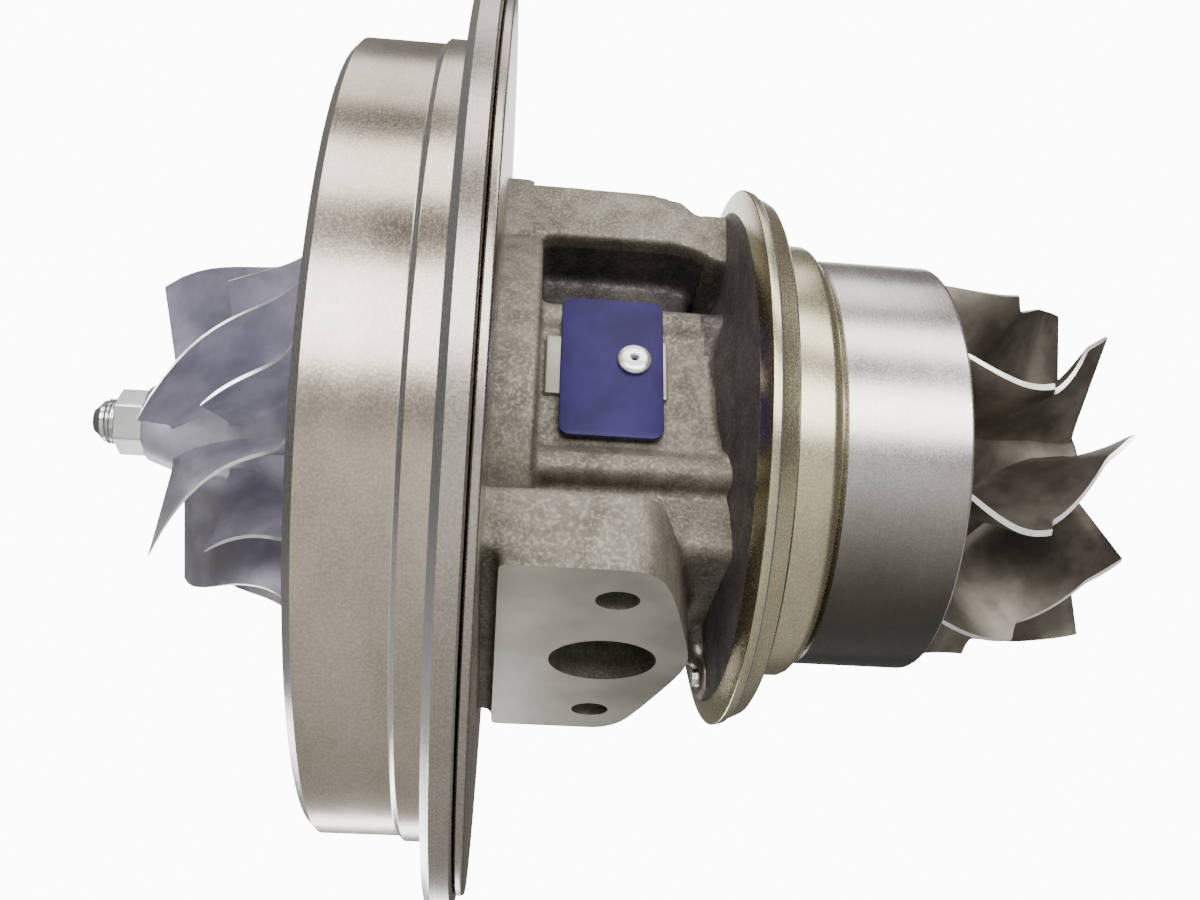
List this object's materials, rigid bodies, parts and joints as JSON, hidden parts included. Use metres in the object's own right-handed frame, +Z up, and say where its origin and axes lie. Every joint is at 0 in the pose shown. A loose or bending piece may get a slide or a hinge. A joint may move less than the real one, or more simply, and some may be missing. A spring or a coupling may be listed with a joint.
{
  "type": "turbo cartridge",
  "caption": "Turbocharger cartridge: oil-fed bearing housing between a compressor-side drum flange and a V-band turbine flange, carrying a rotor with a bladed wheel at each end.",
  "frame": {"origin": "on the shaft's axis, in the plane of the flange face that the compressor housing seats on", "axes": "+X along the shaft from the compressor wheel towards the turbine wheel, +Z up out of the oil inlet pad, -Z out of the oil drain pad"},
  "size_m": [0.2196, 0.199, 0.199],
  "materials": {
    "cast_iron": "rough sand cast",
    "machined_steel": "turned satin",
    "wheel_aluminium": "cast, satin",
    "turbine_alloy": "investment cast nickel alloy, matte",
    "bright_steel": "ground",
    "shield_steel": "pressed stainless sheet, satin",
    "bearing_bronze": "turned",
    "seal_rubber": "moulded",
    "plate_paint": "anodised blue-violet, bare of lettering"
  },
  "bodies": {
    "housing": {"bearing_housing": "cast_iron", "compressor_diffuser": "machined_steel", "diffuser_screw_1": "bright_steel", "diffuser_screw_2": "bright_steel", "diffuser_screw_3": "bright_steel", "diffuser_screw_4": "bright_steel", "diffuser_screw_5": "bright_steel", "diffuser_screw_6": "bright_steel", "diffuser_o_ring": "seal_rubber", "oil_seal_plate": "machined_steel", "oil_seal_plate_o_ring": "seal_rubber", "oil_seal_plate_retaining_ring": "bright_steel", "thrust_bearing": "bearing_bronze", "oil_deflector": "shield_steel", "compressor_piston_ring": "bright_steel", "turbine_piston_ring": "bright_steel", "bush_circlip_1": "bright_steel", "bush_circlip_2": "bright_steel", "bush_circlip_3": "bright_steel", "bush_circlip_4": "bright_steel", "heat_shield": "shield_steel", "locating_dowel": "bright_steel", "nameplate": "plate_paint", "nameplate_drive_screw": "bright_steel"},
    "rotor": {"turbine_wheel": "turbine_alloy", "turbine_shaft": "bright_steel", "thrust_collar": "bright_steel", "oil_slinger": "bright_steel", "compressor_wheel": "wheel_aluminium", "shaft_nut": "bright_steel"},
    "compressor_bush": {"journal_bush_compressor_end": "bearing_bronze"},
    "turbine_bush": {"journal_bush_turbine_end": "bearing_bronze"}
  },
  "joints": [
    {"name": "rotor_spin", "type": "hinge", "parent": "housing", "child": "rotor", "pos_m": [0, 0, 0], "axis": [1, 0, 0], "continuous": true},
    {"name": "compressor_bush_spin", "type": "hinge", "parent": "housing", "child": "compressor_bush", "pos_m": [0.031, 0, 0], "axis": [1, 0, 0], "continuous": true},
    {"name": "turbine_bush_spin", "type": "hinge", "parent": "housing", "child": "turbine_bush", "pos_m": [0.063, 0, 0], "axis": [1, 0, 0], "continuous": true}
  ]
}
